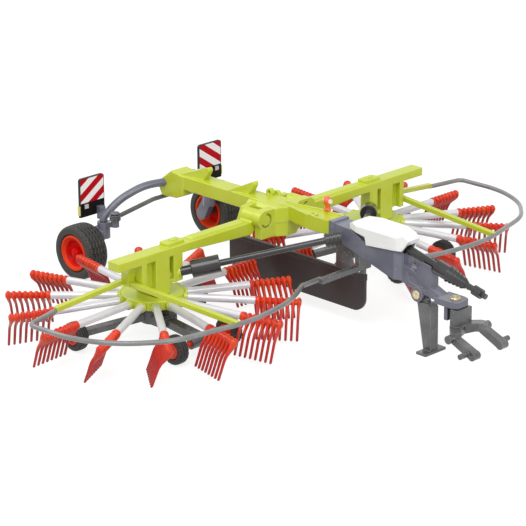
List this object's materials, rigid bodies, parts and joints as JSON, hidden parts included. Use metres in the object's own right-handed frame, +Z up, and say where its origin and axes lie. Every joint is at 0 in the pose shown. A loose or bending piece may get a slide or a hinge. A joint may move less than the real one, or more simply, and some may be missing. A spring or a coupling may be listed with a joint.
{
  "type": "toy rotary hay rake",
  "caption": "Toy twin-rotor hay rake with fold-up booms, spinning tined rotors under tube guards, a steered rear axle, a hitch fork and a folding stand.",
  "frame": {"origin": "centre of the rake's outer box, on the ground that the wheels stand on", "axes": "+Z up, -Y forwards (towards the hitch), +X to the machine's left"},
  "size_m": [0.2597, 0.2058, 0.0494],
  "materials": {
    "lime_paint": "satin",
    "lime_plastic": "satin",
    "orange_red_plastic": "satin",
    "silver_plastic": "satin",
    "grey_plastic": "matte",
    "steel_grey_paint": "satin",
    "dark_grey_paint": "satin",
    "black_plastic": "satin",
    "curtain_plastic": "matte",
    "white_plastic": "gloss",
    "orange_plastic": "gloss",
    "board_print": "gloss",
    "lamp_plastic": "gloss",
    "tyre_rubber": "matte",
    "rivet_metal": "satin"
  },
  "bodies": {
    "frame": {"main_frame": "lime_paint", "latch_lever": "orange_plastic", "drawbar": "steel_grey_paint", "cowl": "white_plastic", "hitch_rivet": "rivet_metal", "stand_rivet": "rivet_metal", "swath_curtain": "curtain_plastic", "curtain_hanger": "dark_grey_paint", "curtain_rod": "dark_grey_paint", "rear_axle": "steel_grey_paint", "warning_board_left": "board_print", "warning_board_right": "board_print", "board_lamps_left": "lamp_plastic", "board_lamps_right": "lamp_plastic"},
    "fork": {"hitch_fork": "dark_grey_paint"},
    "stand": {"parking_stand": "dark_grey_paint"},
    "shaft": {"front_shaft": "black_plastic"},
    "tie": {"tie_rod": "dark_grey_paint"},
    "boom_left": {"boom_left": "lime_paint", "guard_struts_left": "lime_plastic", "guard_tube_left": "grey_plastic", "cross_shaft_left": "black_plastic", "rotor_axle_left": "black_plastic", "axle_collar_left": "black_plastic", "wheel_cradle_left": "dark_grey_paint"},
    "rotor_left": {"rotor_hub_left": "lime_plastic", "rotor_arms_left": "silver_plastic", "tine_combs_left": "orange_red_plastic"},
    "front_wheels_left": {"front_small_tyres_left": "tyre_rubber", "front_small_axle_left": "orange_red_plastic"},
    "outer_wheel_left": {"small_tyre_outer_left": "tyre_rubber", "small_rim_outer_left": "orange_red_plastic"},
    "inner_wheel_left": {"small_tyre_inner_left": "tyre_rubber", "small_rim_inner_left": "orange_red_plastic"},
    "knuckle_left": {"wheel_knuckle_left": "dark_grey_paint"},
    "rear_wheel_left": {"rear_tyre_left": "tyre_rubber", "rear_rim_left": "orange_red_plastic"},
    "boom_right": {"boom_right": "lime_paint", "guard_struts_right": "lime_plastic", "guard_tube_right": "grey_plastic", "cross_shaft_right": "black_plastic", "rotor_axle_right": "black_plastic", "axle_collar_right": "black_plastic", "wheel_cradle_right": "dark_grey_paint"},
    "rotor_right": {"rotor_hub_right": "lime_plastic", "rotor_arms_right": "silver_plastic", "tine_combs_right": "orange_red_plastic"},
    "front_wheels_right": {"front_small_tyres_right": "tyre_rubber", "front_small_axle_right": "orange_red_plastic"},
    "outer_wheel_right": {"small_tyre_outer_right": "tyre_rubber", "small_rim_outer_right": "orange_red_plastic"},
    "inner_wheel_right": {"small_tyre_inner_right": "tyre_rubber", "small_rim_inner_right": "orange_red_plastic"},
    "knuckle_right": {"wheel_knuckle_right": "dark_grey_paint"},
    "rear_wheel_right": {"rear_tyre_right": "tyre_rubber", "rear_rim_right": "orange_red_plastic"}
  },
  "joints": [
    {"name": "boom_fold_left", "type": "hinge", "parent": "frame", "child": "boom_left", "pos_m": [0.0128, 0.0145, 0.039], "axis": [0, -1, 0], "range_deg": [0, 88]},
    {"name": "rotor_spin_left", "type": "hinge", "parent": "boom_left", "child": "rotor_left", "pos_m": [0.0644, 0.0187, 0.02], "axis": [0, 0, 1], "continuous": true},
    {"name": "front_wheels_spin_left", "type": "hinge", "parent": "boom_left", "child": "front_wheels_left", "pos_m": [0.0644, -0.0097, 0.0059], "axis": [1, 0, 0], "continuous": true},
    {"name": "outer_wheel_spin_left", "type": "hinge", "parent": "boom_left", "child": "outer_wheel_left", "pos_m": [0.0964, 0.0289, 0.0059], "axis": [1, 0, 0], "continuous": true},
    {"name": "inner_wheel_spin_left", "type": "hinge", "parent": "boom_left", "child": "inner_wheel_left", "pos_m": [0.0324, 0.0289, 0.0059], "axis": [1, 0, 0], "continuous": true},
    {"name": "steer_left", "type": "hinge", "parent": "frame", "child": "knuckle_left", "pos_m": [0.031, 0.086, 0.02], "axis": [0, 0, 1], "range_deg": [-12, 12]},
    {"name": "rear_wheel_spin_left", "type": "hinge", "parent": "knuckle_left", "child": "rear_wheel_left", "pos_m": [0.0395, 0.091, 0.0119], "axis": [1, 0, 0], "continuous": true},
    {"name": "boom_fold_right", "type": "hinge", "parent": "frame", "child": "boom_right", "pos_m": [-0.0128, 0.0145, 0.039], "axis": [0, 1, 0], "range_deg": [0, 88]},
    {"name": "rotor_spin_right", "type": "hinge", "parent": "boom_right", "child": "rotor_right", "pos_m": [-0.0644, 0.0187, 0.02], "axis": [0, 0, 1], "continuous": true},
    {"name": "front_wheels_spin_right", "type": "hinge", "parent": "boom_right", "child": "front_wheels_right", "pos_m": [-0.0644, -0.0097, 0.0059], "axis": [1, 0, 0], "continuous": true},
    {"name": "outer_wheel_spin_right", "type": "hinge", "parent": "boom_right", "child": "outer_wheel_right", "pos_m": [-0.0964, 0.0289, 0.0059], "axis": [1, 0, 0], "continuous": true},
    {"name": "inner_wheel_spin_right", "type": "hinge", "parent": "boom_right", "child": "inner_wheel_right", "pos_m": [-0.0324, 0.0289, 0.0059], "axis": [1, 0, 0], "continuous": true},
    {"name": "steer_right", "type": "hinge", "parent": "frame", "child": "knuckle_right", "pos_m": [-0.031, 0.086, 0.02], "axis": [0, 0, 1], "range_deg": [-12, 12]},
    {"name": "rear_wheel_spin_right", "type": "hinge", "parent": "knuckle_right", "child": "rear_wheel_right", "pos_m": [-0.0395, 0.091, 0.0119], "axis": [1, 0, 0], "continuous": true},
    {"name": "tie_slide", "type": "slide", "parent": "frame", "child": "tie", "axis": [1, 0, 0], "range_m": [-0.00157, 0.00157]},
    {"name": "fork_swing", "type": "hinge", "parent": "frame", "child": "fork", "pos_m": [0, -0.084, 0.02], "axis": [0, 0, 1], "range_deg": [-35, 35]},
    {"name": "stand_fold", "type": "hinge", "parent": "frame", "child": "stand", "pos_m": [0, -0.0664, 0.0232], "axis": [1, 0, 0], "range_deg": [0, 85]},
    {"name": "shaft_lift", "type": "hinge", "parent": "frame", "child": "shaft", "pos_m": [0, -0.0571, 0.0404], "axis": [-1, 0, 0], "range_deg": [0, 12]}
  ],
  "couplings": [
    {"joint": "steer_right", "follows": "steer_left", "ratio": 1},
    {"joint": "tie_slide", "follows": "steer_left", "m_per_rad": 0.0075}
  ]
}
